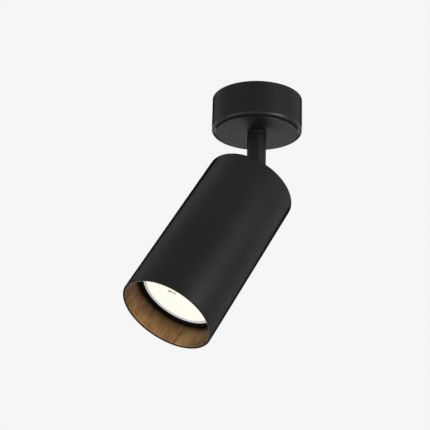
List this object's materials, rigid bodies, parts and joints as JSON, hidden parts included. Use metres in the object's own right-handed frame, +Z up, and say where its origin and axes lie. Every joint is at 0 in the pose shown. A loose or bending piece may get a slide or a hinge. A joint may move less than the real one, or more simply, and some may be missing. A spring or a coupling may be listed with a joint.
{
  "type": "cylinder_spotlight",
  "caption": "Surface-mounted ceiling spotlight: a cup canopy, short swivelling stem and knuckle, and a tilting cylinder head with a twist-lock reflector lamp",
  "frame": {"origin": "Centre of the canopy's open rim, in the plane of the ceiling, midway between the two ceiling screw slots of the bracket", "axes": "+Z up into the ceiling, X along the bracket through both side screws, Y square to both; at rest the head's beam points down and towards -X and -Y, 32 degrees off straight down"},
  "size_m": [0.1101, 0.0957, 0.1759],
  "materials": {
    "black_coated_aluminium": "matte",
    "black_coated_steel": "matte",
    "blackened_steel": "satin",
    "zinc_plated_steel": "satin",
    "bronze_anodised": "satin",
    "lamp_silver": "satin",
    "opal_lens": "satin",
    "lamp_white_plastic": "matte",
    "board_white": "matte",
    "led_yellow": "satin",
    "brass": "satin",
    "tinned_brass": "satin",
    "white_ceramic": "matte",
    "nylon_white": "matte",
    "nylon_black": "matte",
    "lead_brown": "matte",
    "lead_blue": "matte",
    "lead_green_yellow": "matte",
    "lead_silicone": "matte"
  },
  "bodies": {
    "canopy": {"ceiling_canopy": "black_coated_aluminium", "mounting_bracket": "zinc_plated_steel", "canopy_grub_screws": "blackened_steel", "terminal_block": "nylon_white", "terminal_clamps": "brass", "terminal_screws": "zinc_plated_steel", "terminal_mount_screws": "zinc_plated_steel", "earth_washer": "zinc_plated_steel", "earth_ring_terminal": "tinned_brass", "earth_screw": "zinc_plated_steel", "live_lead": "lead_brown", "neutral_lead": "lead_blue", "earth_lead": "lead_green_yellow", "earth_bond_lead": "lead_green_yellow", "pan_stop_pin": "zinc_plated_steel"},
    "stem": {"pan_washer_outer": "nylon_black", "pan_washer_inner": "zinc_plated_steel", "stop_washer": "zinc_plated_steel", "disc_spring": "zinc_plated_steel", "pan_nut": "zinc_plated_steel", "lock_nut": "zinc_plated_steel", "threaded_nipple": "zinc_plated_steel", "nipple_bush": "nylon_black", "stem_tube": "black_coated_steel", "knuckle_upper": "black_coated_steel", "pivot_screw": "blackened_steel", "pivot_washer": "blackened_steel", "pivot_nut": "blackened_steel", "stem_leads": "lead_silicone", "knuckle_leads": "lead_silicone"},
    "head": {"knuckle_lower": "black_coated_steel", "rear_cap": "black_coated_aluminium", "cap_lock_washer": "zinc_plated_steel", "cap_nut": "zinc_plated_steel", "head_earth_washer": "zinc_plated_steel", "head_earth_ring_terminal": "tinned_brass", "head_earth_screw": "zinc_plated_steel", "holder_strap": "zinc_plated_steel", "lamp_holder": "white_ceramic", "holder_cover": "white_ceramic", "holder_screws": "zinc_plated_steel", "holder_contacts": "tinned_brass", "lamp_leads": "lead_silicone", "head_earth_lead": "lead_green_yellow", "head_tube": "black_coated_aluminium", "lamp_centring_ring": "black_coated_aluminium"},
    "sleeve": {"anti_glare_sleeve": "bronze_anodised"},
    "lamp": {"lamp_shell": "lamp_silver", "lamp_base": "lamp_white_plastic", "lamp_pins": "brass", "lamp_rim": "lamp_silver", "lamp_lens": "opal_lens", "led_board": "board_white", "led_chips": "led_yellow"}
  },
  "joints": [
    {"name": "head_pan", "type": "hinge", "parent": "canopy", "child": "stem", "pos_m": [0, 0, 0], "axis": [0, 0, 1], "range_deg": [-170, 170]},
    {"name": "head_tilt", "type": "hinge", "parent": "stem", "child": "head", "pos_m": [0, 0, -0.0562], "axis": [-0.5736, 0.8192, 0], "range_deg": [-32, 58], "deforming": ["knuckle_leads"]},
    {"name": "sleeve_pull", "type": "slide", "parent": "head", "child": "sleeve", "axis": [-0.4341, -0.3039, -0.848], "range_m": [0, 0.018]},
    {"name": "lamp_twist", "type": "hinge", "parent": "head", "child": "lamp", "pos_m": [0, 0, -0.0562], "axis": [-0.4341, -0.3039, -0.848], "range_deg": [0, 25]}
  ]
}
